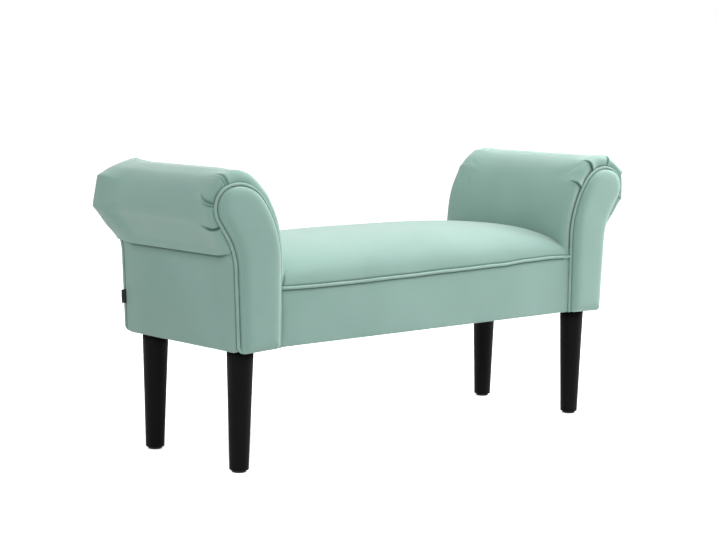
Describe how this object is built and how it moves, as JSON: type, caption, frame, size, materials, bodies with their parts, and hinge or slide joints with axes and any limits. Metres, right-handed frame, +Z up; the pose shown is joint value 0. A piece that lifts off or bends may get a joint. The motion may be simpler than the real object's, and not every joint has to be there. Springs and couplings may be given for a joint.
{
  "type": "upholstered bench",
  "caption": "Upholstered bench with a crowned seat, rolled piped arms at both ends and tapered round black legs.",
  "frame": {"origin": "on the floor, under the middle of the bench", "axes": "+X along the bench to its right end seen from the front, +Y to the back, +Z up"},
  "size_m": [1.0302, 0.34, 0.51],
  "materials": {
    "velvet": "smooth short-pile velvet, sage green",
    "velvet_piping": "the same velvet, wrapped round a cord",
    "black_lacquer": "satin black lacquer on turned wood",
    "black_plastic": "matte",
    "frame_wood": "bare sawn pine",
    "plywood": "bare plywood",
    "fibreboard": "thin bent fibreboard",
    "foam": "open-cell foam",
    "dust_cloth": "thin black non-woven",
    "zinc_steel": "zinc plated",
    "tag_tape": "woven tape, bare"
  },
  "bodies": {
    "root": {"seat_front_rail": "frame_wood", "seat_rear_rail": "frame_wood", "seat_left_end_rail": "frame_wood", "seat_right_end_rail": "frame_wood", "seat_cross_rails": "frame_wood", "seat_corner_blocks": "frame_wood", "seat_deck": "plywood", "seat_foam": "foam", "seat_cover": "velvet", "seat_front_band": "velvet", "seat_rear_band": "velvet", "seat_front_piping": "velvet_piping", "seat_rear_piping": "velvet_piping", "dust_cover": "dust_cloth", "left_arm_front_board": "plywood", "left_arm_rear_board": "plywood", "left_arm_stretchers": "frame_wood", "left_arm_leg_plate": "frame_wood", "left_arm_skin_board": "fibreboard", "left_arm_foam": "foam", "left_arm_cover": "velvet", "left_arm_outer_panel": "velvet", "left_arm_front_facing": "velvet", "left_arm_rear_facing": "velvet", "left_arm_front_piping": "velvet_piping", "left_arm_rear_piping": "velvet_piping", "right_arm_front_board": "plywood", "right_arm_rear_board": "plywood", "right_arm_stretchers": "frame_wood", "right_arm_leg_plate": "frame_wood", "right_arm_skin_board": "fibreboard", "right_arm_foam": "foam", "right_arm_cover": "velvet", "right_arm_outer_panel": "velvet", "right_arm_front_facing": "velvet", "right_arm_rear_facing": "velvet", "right_arm_front_piping": "velvet_piping", "right_arm_rear_piping": "velvet_piping", "arm_bolts": "zinc_steel", "arm_washers": "zinc_steel", "arm_t_nuts": "zinc_steel", "front_left_leg": "black_lacquer", "front_right_leg": "black_lacquer", "rear_left_leg": "black_lacquer", "rear_right_leg": "black_lacquer", "leg_hanger_bolts": "zinc_steel", "leg_t_nuts": "zinc_steel", "leg_glides": "black_plastic", "side_tag": "tag_tape"}
  },
  "joints": []
}
